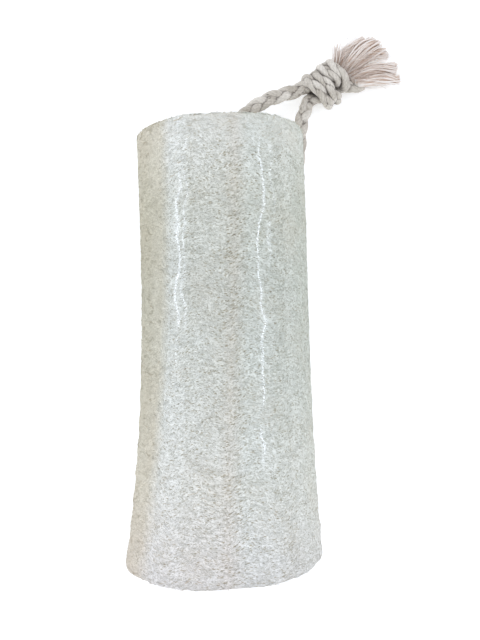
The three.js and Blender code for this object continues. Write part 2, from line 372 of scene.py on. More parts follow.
def plaited(middle, up, width, build):
    """The three strands, as rings, of a plait along a line. width is the plait's at each point."""
    aside, rise, half_width, flatness = build
    travelled = distances(middle)
    side = np.cross(up, heading(middle))
    turn = np.arange(STRAND_SIDES) / STRAND_SIDES * 2 * np.pi
    strands = []
    for number in range(STRANDS):
        phase = 2 * np.pi * (travelled / PLAIT_REPEAT + number / STRANDS)
        across = width * aside * np.sin(phase)
        over = width * rise * np.sin(2 * phase)
        centres = middle + across[:, None] * side + over[:, None] * up
        yarns = turn[None] - 2 * np.pi * distances(centres)[:, None] / YARN_TWIST
        plump = 1 - YARN_GROOVE * (1 - np.abs(np.cos(YARNS_IN_STRAND / 2 * yarns)))
        half = width[:, None] * half_width * plump
        outline = np.stack([half * np.cos(turn), half * flatness * np.sin(turn)], -1)
        strands.append(rings_round(centres, up, outline)[None])
    return strands


def stray_hairs(strands, count, longest, seed):
    """Fine hairs that stand off the strands, as rings."""
    draw = np.random.default_rng(seed)
    middles, skins = [], []
    for rings in strands:
        pick = draw.integers(2, rings.shape[1] - 2, count // len(strands))
        edge = draw.integers(0, rings.shape[2], len(pick))
        skins.append(rings[0, pick, edge])
        middles.append(rings[0, pick].mean(1))
    root = np.concatenate(skins)
    out = unit(root - np.concatenate(middles))
    lean = unit(out + draw.normal(0, HAIR_LEAN, out.shape))
    curl = draw.normal(0, HAIR_CURL, out.shape)
    length = longest * draw.uniform(0.35, 1, (len(root), 1))
    share = np.linspace(0, 1, HAIR_POINTS)[None, :, None]
    lines = root[:, None] + length[:, None] * (share * lean[:, None] + share**2 * curl[:, None])
    return rings_round(lines, np.broadcast_to(UP + 0.01, lines.shape), HAIR_RADIUS * round_outline(3))


def stored(items, name, width=3, kind=np.float32):
    """One property of all of a mesh's vertices, corners or faces, width values to each."""
    values = np.zeros(len(items) * width, kind)
    items.foreach_get(name, values)
    return values.reshape(-1, width) if width > 1 else values


def mark_openness_for_painted_shade(piece):
    """Stores how open each place on a piece is: the share of short rays that meet nothing. The painted
    shade in the gaps follows it.
    """
    walls = BVHTree.FromObject(piece, bpy.context.evaluated_depsgraph_get())
    place, normal = stored(piece.data.vertices, "co"), stored(piece.data.vertices, "normal")
    first = unit(np.cross(normal, [0.31, 0.57, 0.76]) + 1e-9)
    second = np.cross(normal, first)
    start = place + normal * 0.04 * MM
    free = np.zeros(len(place))
    for number in range(GAP_RAYS):
        high = (number + 0.7) / (GAP_RAYS + 0.5)
        flat = math.sqrt(1 - high**2)
        turn = number * GOLDEN_TURN
        rays = normal * high + flat * (first * math.cos(turn) + second * math.sin(turn))
        over_floor = start[:, 2] + rays[:, 2] * GAP_REACH > 0
        met = [walls.ray_cast(Vector(a), Vector(b), GAP_REACH)[0] is None for a, b in zip(start, rays)]
        free += over_floor & np.array(met)
    piece.data.attributes.new("open_share", "FLOAT", "POINT")
    piece.data.attributes["open_share"].data.foreach_set("value", (free / GAP_RAYS).astype(np.float32))


def in_steps(node, kind, value, *steps):
    """Puts a value through maths nodes in turn. A step is an operation and its other inputs."""
    for operation, *others in steps:
        value = node(kind, (value, *others), operation=operation)
    return value


def cotton(name, dull, bright, painted_gap_shade, grain_mm, yarns=0, groove_shade=1.0):
    """Undyed carded cotton, spun and laid up: matte, with soft edges and short fibres along it, and
    painted shade in the grooves between yarns and in the gaps between cords.
    """
    material, node = new_material(name)
    wrap = node("UVMap", uv_map="around_and_along")
    place = node("TexCoord").outputs["Object"]
    tone = node("Attribute", attribute_name="tone").outputs["Fac"]
    slant = {"Vector": wrap, "Scale": (9, 1 / (grain_mm * 6), 1), "Rotation": (0, 0, 0.35)}
    slant = node("Mapping", slant)
    staple = node("TexNoise", {"Vector": slant, "Scale": 2.4, "Detail": 3})
    blotch = node("TexNoise", {"Vector": place, "Scale": 1 / (BLOTCH_MM * MM), "Detail": 2})
    grain = in_steps(node, "Math", staple, ("ADD", blotch), ("ADD", tone))
    spread = node("MapRange", (grain, 0.9, 2.1))
    colour = node("Mix", {0: spread, 6: linear(dull), 7: linear(bright)}, data_type="RGBA")
    # Painted shade along the grooves between a strand's yarns.
    round_yarns = (yarns * math.pi, -yarns * math.pi * MM / YARN_TWIST, 0)
    turns = node("VectorMath", (wrap, round_yarns), operation="DOT_PRODUCT")
    swell = in_steps(node, "Math", turns.outputs["Value"], ("COSINE",), ("ABSOLUTE",))
    painted_groove_shade = node("MapRange", (swell, 0, 0.55, groove_shade))
    # Painted shade in the gaps, where little round the place is open.
    open_share = node("Attribute", attribute_name="open_share").outputs["Fac"]
    open_share = node("MapRange", (open_share, *GAP_SHARES))
    shade = node("Mix", {0: open_share, 6: linear(painted_gap_shade), 7: WHITE}, data_type="RGBA")
    for darkening in (painted_groove_shade, shade.outputs[2]):
        colour = node("Mix", {0: 1.0, 6: colour.outputs[2], 7: darkening}, **MULTIPLIED)
    bump = node("Bump", {"Height": staple, "Strength": 0.5, "Distance": 0.12 * MM})
    surface = {"Base Color": colour.outputs[2], "Normal": bump, **SOFT_COTTON}
    node("OutputMaterial", {"Surface": node("BsdfPrincipled", surface)})
    return material


cord_line = smooth_curve(CORD_ROUTE, STRAND_STEP / MM) * MM
cord_up = unit(UP - heading(cord_line) * heading(cord_line)[:, 2:])
cord_strands = plaited(cord_line, cord_up, np.full(len(cord_line), CORD_DIAMETER), LOOSE_PLAIT)
cord_hairs = stray_hairs(cord_strands, 360, 2.2 * MM, seed=11)
cord = tubes_object(
    "plaited_hanging_cord",
    [*cord_strands, cord_hairs],
    [*STRAND_TONES, np.full(len(cord_hairs), HAIR_TONE)],
)
cord_material = cotton(
    "plaited_undyed_cotton", *CORD_COLOURS, PAINTED_SHADE_COLOUR, 0.3, yarns=YARNS_IN_STRAND, groove_shade=0.84
)
cord.data.materials.append(cord_material)
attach(cord, "root")
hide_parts("hanging_cord")

# ----------------------------------------
# Overhand knot: both ends of the cord laid side by side and tied in one overhand knot,
# pulled tight, so the plaits are squeezed narrower there.
KNOT_CENTRE = [38.3, 97.5, 7.8]
KNOT_HEADING = 33  # degrees from +X, from the loop towards the frayed ends
KNOT_ROLL = 60
KNOT_SHORTENING = 0.72  # how far the turns are pressed together
KNOT_WIDENING = 0.99
KNOT_FLATTENING = 0.84
KNOT_LEAD = 2.4  # mm that the cord runs on straight before it turns into the knot
KNOT_CORD_WIDTH = 4.6 * MM
SQUEEZE_LENGTH = 5 * MM
# Along the knot, how far each side of the pair is moved along, out from the axis, degrees
# round the axis, and how far each side of the pair is moved round.
KNOT_TURNS = [
    [-4.5, 0, 2.75, 90, 45],
    [-1.0, 0, 2.75, 90, 45],
    [3.5, 0, 2.75, 90, 45],
    [6.6, 1.6, 4.1, 72, 26],
    [5.8, 2.2, 5.9, 26, 9],
    [4.5, 2.3, 6.4, -14, 0],
    [3.3, 2.3, 6.3, -62, 0],
    [2.0, 2.3, 6.3, -110, 0],
    [0.7, 2.3, 6.3, -160, 0],
    [-0.7, 2.3, 6.3, -210, 0],
    [-2.0, 2.3, 6.3, -260, 0],
    [-3.3, 2.3, 6.3, -308, 0],
    [-4.5, 2.3, 6.4, -356, 0],
    [-5.8, 2.2, 5.9, -396, 9],
    [-6.6, 1.6, 4.1, -442, 26],
    [-3.5, 0, 2.75, -450, 45],
    [2.0, 0, 2.75, -450, 45],
    [7.5, 0, 2.75, -450, 45],
]
# The lower end stays plaited a little way out of the knot before it frays.
PLAITED_TAIL = [[46.8, 97.4, 6.2], [49.2, 97.5, 5.5], [52.3, 98.7, 5.1]]
SECOND_TONES = ([0.45], [0.6], [0.4])


def knot_line(side, start, onward, tail=()):
    """One of the two cords through the knot. side is 1 or -1, and start is where the loop ends."""
    lead = np.array(start) + unit(np.array(onward, float)) * KNOT_LEAD
    roll, turned = math.radians(KNOT_ROLL), math.radians(KNOT_HEADING)
    points = [start, lead]
    for along, shift, out, degrees, spread in KNOT_TURNS:
        turn = math.radians(degrees + side * spread) + roll
        x = (along + side * shift) * KNOT_SHORTENING
        y = out * math.cos(turn) * KNOT_WIDENING
        z = out * math.sin(turn) * KNOT_FLATTENING
        points.append(
            [
                KNOT_CENTRE[0] + x * math.cos(turned) - y * math.sin(turned),
                KNOT_CENTRE[1] + x * math.sin(turned) + y * math.cos(turned),
                KNOT_CENTRE[2] + z,
            ]
        )
    return smooth_curve(points + list(tail), STRAND_STEP / MM) * MM


first_way = np.array(CORD_ROUTE[0]) - CORD_ROUTE[1]
last_way = np.array(CORD_ROUTE[-1]) - CORD_ROUTE[-2]
knot_strands = []
for side, start, onward, tail in (
    (-1, CORD_ROUTE[0], first_way, PLAITED_TAIL),
    (1, CORD_ROUTE[-1], last_way, ()),
):
    line = knot_line(side, start, onward, tail)
    squeeze = np.clip(distances(line) / SQUEEZE_LENGTH, 0, 1)
    width = CORD_DIAMETER + (KNOT_CORD_WIDTH - CORD_DIAMETER) * squeeze
    knot_strands += plaited(line, carried_up(line, UP), width, TIGHT_PLAIT)
knot_hairs = stray_hairs(knot_strands, 300, 1.8 * MM, seed=23)
knot = tubes_object(
    "tight_overhand_knot",
    [*knot_strands, knot_hairs],
    [*STRAND_TONES, *SECOND_TONES, np.full(len(knot_hairs), HAIR_TONE)],
)
knot.data.materials.append(cord_material)
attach(knot, "root")
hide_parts("overhand_knot")

# ----------------------------------------
# Frayed ends: past the knot the plaits are undone into their cotton yarns, which fan out
# in locks and are trimmed roughly to one length. A few yarns stand apart in a wisp.
FAN_LOW_ROOT = np.array([51.0, 98.4, 5.0])
FAN_HIGH_ROOT = np.array([40.6, 104.2, 6.6])
FAN_LOW_HEADING = -1  # degrees from +X
FAN_HIGH_HEADING = 78
FAN_CURL = 56  # how far the highest yarns curve back over, in degrees
# The yarns' lengths at places in the fan, from 0 at its low edge to 1 at its high edge.
FAN_LENGTHS = ([0, 15.2], [0.3, 19.4], [0.45, 20.6], [0.6, 20.2], [0.85, 19.0], [1, 17.4])
YARN_BOW = 0.9  # mm that a yarn rises between its root and its tip
LOCKS = 9
YARNS_IN_LOCK = 26
YARN_RADIUS = 0.43 * MM
YARN_POINTS = 12
LOCK_RADII = (1.0, 1.65)  # at its root and at its tip
LOCK_TWIST = 1.3  # radians, the turn that its yarns keep from the plait
LOCK_WAVE = 0.24  # radians
LOCK_ROOTS = (6.0, 1.8)  # a lock's height at its root: the middle, and how far it may be off
LOCK_TIPS = (4.2, 2.9)
WISP_ROOT = np.array([41.4, 104.4, 7.4])
WISP_HEADING = 84
WISP_LENGTHS = (4, 9.5)
WISP_YARNS = 22
FAN_FIBRES = 260
# The tassel's dull and bright cotton colours, then the painted shade in the gaps between its yarns.
TASSEL_COLOURS_AND_SHADE = ("#f2e8de", "#fcf6f0", "#d6bca6")


def yarn_lines(where, length, root_z, tip_z, waviness, phase, pace):
    """Yarns from the knot's end outwards. where is each one's place in the fan, 0 low to 1 high."""
    count = len(where)
    share = np.linspace(0, 1, YARN_POINTS)
    start_way = np.radians(FAN_LOW_HEADING + (FAN_HIGH_HEADING - FAN_LOW_HEADING) * where)
    curl = np.radians(FAN_CURL) * (np.clip(where, 0, 1) ** 1.3)[:, None] * share[None] ** 1.2
    way = start_way[:, None] - curl
    way = way + waviness[:, None] * np.sin(phase[:, None] + share[None] * pace[:, None])
    step = (length / (YARN_POINTS - 1))[:, None]
    flat = np.stack([np.cos(way), np.sin(way)], -1) * step[..., None]
    root = FAN_LOW_ROOT + (FAN_HIGH_ROOT - FAN_LOW_ROOT) * where[:, None]
    lines = np.zeros((count, YARN_POINTS, 3))
    lines[:, 1:, :2] = np.cumsum(flat[:, :-1], 1)
    lines[..., :2] += root[:, None, :2]
    bow = YARN_BOW * np.sin(np.pi * share)[None]
    lines[..., 2] = root_z[:, None] * (1 - share) + tip_z[:, None] * share + bow
    return lines


def yarn_rings(lines, radius, sides):
    """Yarns as rings, a little thinner at the tips."""
    taper = np.linspace(1, 0.75, lines.shape[1])[None, :, None, None]
    outline = radius[:, None, None, None] * taper * round_outline(sides)
    return rings_round(lines, np.broadcast_to(UP + 0.01, lines.shape), outline)


draw = np.random.default_rng(5)
yarn_total = LOCKS * YARNS_IN_LOCK
lock_of = np.repeat(np.arange(LOCKS), YARNS_IN_LOCK)
lock_level = draw.uniform(-0.7, 0.7, LOCKS)
lock_phase = draw.uniform(0, 2 * np.pi, LOCKS)
lock_pace = draw.uniform(3, 5.5, LOCKS)
round_lock = draw.uniform(0, 2 * np.pi, yarn_total)
across_lock = np.sqrt(draw.uniform(0, 1, yarn_total))
where = (lock_of + 0.5) / LOCKS + draw.normal(0, 0.006, yarn_total)
level = lock_level[lock_of]
fan_places, fan_reach = np.array(FAN_LENGTHS).T
lock_reach = draw.uniform(0.95, 1.03, LOCKS)[lock_of]
yarns = yarn_lines(
    np.clip(where, 0, 1),
    np.interp(where, fan_places, fan_reach) * lock_reach * draw.uniform(0.96, 1.0, yarn_total),
    root_z=LOCK_ROOTS[0] + LOCK_ROOTS[1] * level,
    tip_z=LOCK_TIPS[0] + LOCK_TIPS[1] * level,
    waviness=LOCK_WAVE * draw.uniform(0.7, 1.3, yarn_total),
    phase=lock_phase[lock_of] + draw.normal(0, 0.3, yarn_total),
    pace=lock_pace[lock_of] + draw.normal(0, 0.25, yarn_total),
)
along_lock = np.linspace(0, 1, YARN_POINTS)[None]
turned = round_lock[:, None] + LOCK_TWIST * along_lock
off_middle = across_lock[:, None] * (LOCK_RADII[0] + (LOCK_RADII[1] - LOCK_RADII[0]) * along_lock)
yarns += np.cross(UP, heading(yarns)) * (off_middle * np.cos(turned))[..., None]
yarns[..., 2] += 0.8 * off_middle * np.sin(turned)
yarn_radii = YARN_RADIUS * draw.uniform(0.7, 1.25, yarn_total)

wisp_way = np.radians(WISP_HEADING + draw.normal(0, 5, WISP_YARNS))
wisp_rise = draw.normal(0.12, 0.08, WISP_YARNS)
wisp_out = np.stack([np.cos(wisp_way), np.sin(wisp_way), wisp_rise], -1)
wisp_curl = np.zeros((WISP_YARNS, 3))
for axis in (0, 2):
    wisp_curl[:, axis] = draw.normal(0, 0.5, WISP_YARNS)
along_wisp = np.linspace(0, 1, YARN_POINTS)[None, :, None]
wisp_length = draw.uniform(*WISP_LENGTHS, WISP_YARNS)[:, None, None]
wisp = WISP_ROOT + draw.normal(0, 0.5, (WISP_YARNS, 1, 3))
wisp = wisp + wisp_length * along_wisp * wisp_out[:, None] + wisp_curl[:, None] * along_wisp**2

fibre_where = draw.uniform(-0.02, 1.03, FAN_FIBRES)
fibres = yarn_lines(
    fibre_where,
    np.interp(fibre_where, fan_places, fan_reach) * draw.uniform(0.6, 1.08, FAN_FIBRES),
    root_z=draw.uniform(4.0, 8.6, FAN_FIBRES),
    tip_z=draw.uniform(0.6, 8.2, FAN_FIBRES),
    waviness=draw.uniform(0.15, 0.5, FAN_FIBRES),
    phase=draw.uniform(0, 2 * np.pi, FAN_FIBRES),
    pace=draw.uniform(4, 9, FAN_FIBRES),
)
tassel = tubes_object(
    "frayed_cotton_yarns",
    [
        yarn_rings(yarns * MM, yarn_radii, 5),
        yarn_rings(wisp * MM, YARN_RADIUS * draw.uniform(0.4, 0.8, WISP_YARNS), 3),
        yarn_rings(fibres * MM, np.full(FAN_FIBRES, HAIR_RADIUS * 1.6), 3),
    ],
    [draw.uniform(0, 1, yarn_total), draw.uniform(0, 0.6, WISP_YARNS), draw.uniform(0.4, 1, FAN_FIBRES)],
)
tassel.data.materials.append(cotton("loose_cotton_yarn", *TASSEL_COLOURS_AND_SHADE, grain_mm=0.2))
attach(tassel, "root")
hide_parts("frayed_tassel")
# How open each place is, for the painted shade in the gaps.
for piece in (cord, knot, tassel):
    mark_openness_for_painted_shade(piece)

# ----------------------------------------
# Sponge body: the dried inner skeleton of a loofah gourd, peeled, washed, bleached and cut
# to length. It is a close felted wall of fibres round three open cells.
FELT_VOXEL = 0.92 * MM
FELT_SINK = 0.12 * MM  # the felt lies this deep under the outermost fibres, at most
FELT_LUMP = 1.6 * MM
SPONGE_RADIUS = 30 * MM
SPONGE_ENDS = (-78 * MM, 78 * MM)  # a little past both cut ends
CELLS_WITHIN = 24 * MM  # the open cells' walls are nearer to the axis than this
# The gourd's axis, in mm: its place aside at y = 0, its lean and its bow, then its height at
# the neck and how it rises with the flare towards the thick end.
AXIS_ASIDE = (0.5, -0.012, -0.0002)
AXIS_HEIGHT = 28.6
FLARE = 4.0
FLARE_FROM_Y = 40
FLARE_LENGTH = 107
FLARE_POWER = 2.6

bpy.ops.object.select_all(action="DESELECT")
solid = frame["nodes"]["loofah_body"]
solid.select_set(True)
bpy.context.view_layer.objects.active = solid
bpy.ops.object.duplicate()
felt = bpy.context.object
felt.name = "felted_loofah_wall"
felt.data.name = "felted_loofah_wall"
felt.parent = None
del felt["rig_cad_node"]
bpy.ops.object.mode_set(mode="EDIT")
bpy.ops.mesh.select_all(action="SELECT")
bpy.ops.mesh.remove_doubles(threshold=0.001 * MM)
bpy.ops.object.mode_set(mode="OBJECT")


def finish_with(piece, kind, **settings):
    """Adds a modifier, sets it and applies it."""
    modifier = piece.modifiers.new(kind.lower(), kind)
    for name, value in settings.items():
        setattr(modifier, name, value)
    bpy.context.view_layer.objects.active = piece
    bpy.ops.object.modifier_apply(modifier=modifier.name)


def axis_place(y):
    """The middle of the sponge, in x and z, at a place along it. Lengths are in metres."""
    mm = y / MM
    aside, lean, bow = AXIS_ASIDE
    flare = np.clip((FLARE_FROM_Y - mm) / FLARE_LENGTH, 0, 1.08) ** FLARE_POWER
    return (aside + lean * mm + bow * mm**2) * MM, (AXIS_HEIGHT + FLARE * flare) * MM


def wrap_with_fibre_directions(mesh):
    """A UV map in mm, with u the way the fibres run: round the sides, and along the cells' walls."""
    index = stored(mesh.loops, "vertex_index", 1, np.int32)
    place = stored(mesh.vertices, "co")[index].astype(float)
    sizes = stored(mesh.polygons, "loop_total", 1, np.int32)
    count = len(sizes)
    face = np.repeat(np.arange(count), sizes)
    middle = np.stack([np.bincount(face, column, count) / sizes for column in place.T], 1)
    middle_x, middle_z = axis_place(middle[:, 1])
    face_turn = np.arctan2(middle[:, 0] - middle_x, middle[:, 2] - middle_z)
    turn = np.arctan2(place[:, 0] - middle_x[face], place[:, 2] - middle_z[face])
    turn = face_turn[face] + (turn - face_turn[face] + np.pi) % (2 * np.pi) - np.pi
    normals = np.abs(stored(mesh.polygons, "normal"))[face]
    reach = np.hypot(middle[:, 0] - middle_x, middle[:, 2] - middle_z)[face]
    on_end, in_cell = normals[:, 1] > 0.7, reach < CELLS_WITHIN
    across_cell = np.where(normals[:, 2] > normals[:, 0], place[:, 0], place[:, 2])
    u = np.where(in_cell, place[:, 1], turn * SPONGE_RADIUS)
    v = np.where(in_cell, across_cell, place[:, 1])
    u, v = np.where(on_end, place[:, 0], u), np.where(on_end, place[:, 2], v)
    mesh.uv_layers.new(name="around_and_along")
    mesh.uv_layers[0].uv.foreach_set("vector", (np.stack([u, v], 1) / MM).astype(np.float32).ravel())


finish_with(felt, "REMESH", mode="VOXEL", voxel_size=FELT_VOXEL)
finish_with(felt, "SMOOTH", factor=0.5, iterations=24)
guide = BVHTree.FromObject(felt, bpy.context.evaluated_depsgraph_get())
lumps = bpy.data.textures.new("felt_lumps", "CLOUDS")
lumps.noise_scale = FELT_LUMP
lumps.noise_depth = 2
finish_with(felt, "DISPLACE", texture=lumps, texture_coords="LOCAL", strength=FELT_SINK, mid_level=1.0)
wrap_with_fibre_directions(felt.data)
felt.data.shade_smooth()

# Painted shade: the darkest felt tone and the colour in the felt's gaps stand for shade down between the
# fibres.
LOOFAH_PIT_SHADE = "#6b5f4c"
LOOFAH_GAP_SHADE = "#cbc2b1"
LOOFAH_DULL = "#cfcec2"
LOOFAH_BRIGHT = "#fdfdf8"
LOOFAH_TAN = "#d6c8b1"
FELT_TONES_AND_PIT_SHADE = [(0.1, LOOFAH_PIT_SHADE), (0.34, LOOFAH_DULL), (0.86, LOOFAH_BRIGHT)]
FIBRE_TONES = [(0.05, LOOFAH_TAN), (0.3, LOOFAH_DULL), (0.8, LOOFAH_BRIGHT)]
# Bleached plant fibre, mostly cellulose, is matte and has no sheen of its own.
DRY_FIBRE = {"Roughness": 0.75, "Specular IOR Level": 0.25}
GLOSS_AXIS = (0.5 * MM, 29.2 * MM)  # the middle, in x and z, that the clear layer lies round
WRINKLES = (9, 14, 0.25)  # of the clear layer: width, length in mm, and how far they tilt it
CRINKLES = (1.1, 4.4, 0.03)
GLOSS_HEIGHTS = (0.45, 0.72)  # of the outward direction, from no clear layer to the full one
GLOSS_WEIGHT = 0.9
NET_FIBRE_MM = (1.4, 0.66)  # an outer net fibre's wave, and its pitch across
NET_SLANTS = (-16, 15)  # degrees
NET_SHARPNESS = 11
FELT_FIBRE_MM = (1.2, 0.36)  # the same for the finer felt below
FELT_SLANTS = (-27, 4, 24)
FELT_SHARPNESS = 8
NET_SHARE = 0.65  # of the wall's relief
PATCH_MM = 16.667
SPECK_MM = 0.6667
FIBRE_SPECK_MM = 1.1111
DRIFT_MM = (13, 17, 3.0)  # the way the fibres run drifts: over how far round and along, how much
RIB_MM = (18, 4.5, 1.15)  # they slant to and fro round the sponge: over how far, from where, how much
PIT_SPACING_MM = (1.62, 0.6)  # from one small gap in the felt to the next, round and along
PIT_SIZE = 0.385  # the largest gap's reach, as a share of that spacing
OPEN_STREAK_MM = (2.5, 2.0, 6.5)  # a more open streak: its place round the sponge, its half widths
OPEN_STREAK_SIZE = 0.08  # added to the gaps' reach there
PRESSED_SIDE = (0.2, 0.1)  # shares of the way across between which the felt gets smoother
PRESSED_SMOOTHING = 0.55
CLOSE_RIM = (64 * MM, 75 * MM, 0.5)  # towards the rope end's rim the felt is closer, by this share
SMOOTH_TONE = 0.66  # what pressed and closer felt evens out to
SIDE_NARROWS = (25 * MM, -45 * MM, 0.04)  # the pressed side narrows between these places, by this share
# Shares of the way along from the thick end, and from one side across to the other.
# Painted light along the sponge: lighter at both ends, darker in the middle.
PAINTED_LIGHT_ALONG = [
    (0.0, "#fffbfe"),
    (0.2, "#fefdfb"),
    (0.46, "#f3f5f2"),
    (0.62, "#edefeb"),
    (0.8, "#eff0ea"),
    (0.97, "#fffffd"),
]
TINTS_ACROSS = [
    (0.0, "#ece5d8"),
    (0.13, "#f1eadd"),
    (0.2, "#ffffff"),
    (0.5, "#fefdfb"),
    (0.56, "#fcf8f4"),
    (0.64, "#fdfffe"),
    (1.0, "#fbfdfb"),
]


def outward(node, place):
    """The direction straight out from the sponge's axis."""
    along = node("SeparateXYZ", [place]).outputs[1]
    axis = node("CombineXYZ", (GLOSS_AXIS[0], along, GLOSS_AXIS[1]))
    return in_steps(node, "VectorMath", place, ("SUBTRACT", axis), ("NORMALIZE",))


def clear_layer_normal(node, place):
    """The normal of the thin clear layer: round the sponge, softly wrinkled."""
    tilted = outward(node, place)
    for width, length, tilt in (WRINKLES, CRINKLES):
        scale = [1 / (size * MM) for size in (width, length, width)]
        stretched = node("VectorMath", (place, scale), operation="MULTIPLY")
        fold = node("TexNoise", {"Vector": stretched, "Scale": 1, "Detail": 1})
        steps = ("SUBTRACT", [0.5] * 3), ("MULTIPLY", [tilt] * 3)
        fold = in_steps(node, "VectorMath", fold.outputs["Color"], *steps)
        tilted = node("VectorMath", (tilted, fold), operation="ADD")
    return node("VectorMath", [tilted], operation="NORMALIZE")


def clear_layer(node, place):
    """The shader inputs of a thin clear layer, which gives the upper half its streaks of light."""
    height = node("SeparateXYZ", [outward(node, place)]).outputs[2]
    upper = node("MapRange", (height, *GLOSS_HEIGHTS, 0, GLOSS_WEIGHT))
    normal = clear_layer_normal(node, place)
    return {"Coat Weight": upper, "Coat Normal": normal, "Coat Roughness": 0.11, "Coat IOR": 1.5}


def crossing_fibres(node, wrap, size_mm, slants, sharpness):
    """Light lines of crimped fibres in several slants, 1 on a fibre and less beside it."""
    mat = None
    for number, slant in enumerate(slants):
        lie = {
            "Vector": wrap,
            "Location": (7.3 * number, 3.1 * number, 0),
            "Rotation": (0, 0, math.radians(slant)),
            "Scale": (*size_mm, 1),
        }
        turned = node("Mapping", lie, vector_type="TEXTURE")
        grain = node("TexNoise", {"Vector": turned, "Scale": 1, "Detail": 1, "Distortion": 0.5})
        steps = ("SUBTRACT", 0.5), ("ABSOLUTE",), ("MULTIPLY_ADD", -sharpness, 1.0)
        fibre = in_steps(node, "Math", grain, *steps)
        mat = node("Math", (mat, fibre), operation="MAXIMUM") if mat else fibre
    return node("MapRange", [mat])


def across_share(node, place):
    """How far across the sponge a place is, 0 to 1. The tan side takes less of the thick end."""
    aside = node("SeparateXYZ", [outward(node, place)])
    along = node("SeparateXYZ", [place]).outputs[1]
    wide_y, narrow_y, narrowing = SIDE_NARROWS
    middle = node("MapRange", (along, wide_y, narrow_y, 0.5, 0.5 + narrowing))
    return node("Math", (aside, 0.5, middle), operation="MULTIPLY_ADD")


def tint_and_painted_light_by_place(node, place, colour):
    """Painted light makes the sponge palest at both ends and darker in the middle; it is still tan down
    one side.
    """
    along = node("SeparateXYZ", [place]).outputs[1]
    along = node("MapRange", (along, *SPONGE_ENDS))
    for factor, stops in ((along, PAINTED_LIGHT_ALONG), (across_share(node, place), TINTS_ACROSS)):
        tint = node("ValToRGB", [factor], stops)
        colour = node("Mix", {0: 1.0, 6: colour, 7: tint}, **MULTIPLIED).outputs[2]
    return colour


def drifting(node, wrap):
    """The wrap with the fibres' drift in it, and how far round the sponge a place then is."""
    wide, long, drift_reach = DRIFT_MM
    far = node("VectorMath", (wrap, (wide, long, 1)), operation="DIVIDE")
    drift = node("TexNoise", {"Vector": far, "Scale": 1, "Detail": 1}).outputs["Color"]
    drift = node("VectorMath", (drift, (0, drift_reach, 0)), operation="MULTIPLY")
    wrap = node("VectorMath", (wrap, drift), operation="ADD")
    round_it = node("SeparateXYZ", [wrap])
    rib_width, rib_start, rib_reach = RIB_MM
    steps = ("SUBTRACT", rib_start), ("MULTIPLY", math.tau / rib_width), ("SINE",)
    slant = in_steps(node, "Math", round_it, *steps, ("MULTIPLY", -rib_reach))
    slant = node("CombineXYZ", {1: slant})
    return node("VectorMath", (wrap, slant), operation="ADD"), round_it


def closed_felt(node, wrap, round_it):
    """0 in the small lens-shaped gaps of the felt and 1 between them."""
    spacing = {"Vector": wrap, "Rotation": (0, 0, 0.06), "Scale": (*PIT_SPACING_MM, 1)}
    spaced = node("Mapping", spacing, vector_type="TEXTURE")
    cells = node("TexVoronoi", {"Vector": spaced, "Scale": 1, "Randomness": 0.8})
    wander = node("TexNoise", {"Vector": wrap, "Scale": 1.8, "Detail": 1})
    streak_place, full_within, none_past = OPEN_STREAK_MM
    off_streak = in_steps(node, "Math", round_it, ("SUBTRACT", streak_place), ("ABSOLUTE",))
    streak = node("MapRange", (off_streak, none_past, full_within))
    reach = node("Math", (streak, OPEN_STREAK_SIZE, PIT_SIZE), operation="MULTIPLY_ADD")
    size = node("Math", (cells.outputs["Color"], 0.4, 0.6), operation="MULTIPLY_ADD")
    size = node("Math", (size, reach), operation="MULTIPLY")
    edge = node("Math", (wander, 0.14, cells.outputs["Distance"]), operation="MULTIPLY_ADD")
    past_edge = node("Math", (edge, size), operation="SUBTRACT")
    return node("MapRange", (past_edge, -0.08, 0.1))


def smoothed(node, place):
    """How far the felt is evened out: on the pressed side, and towards the rope end's rim."""
    pressed = node("MapRange", (across_share(node, place), *PRESSED_SIDE, 0, PRESSED_SMOOTHING))
    along = node("SeparateXYZ", [place]).outputs[1]
    rim_start, rim_end, rim_smoothing = CLOSE_RIM
    rim = node("MapRange", (along, rim_start, rim_end, 0, rim_smoothing))
    return node("Math", (pressed, rim), operation="MAXIMUM")


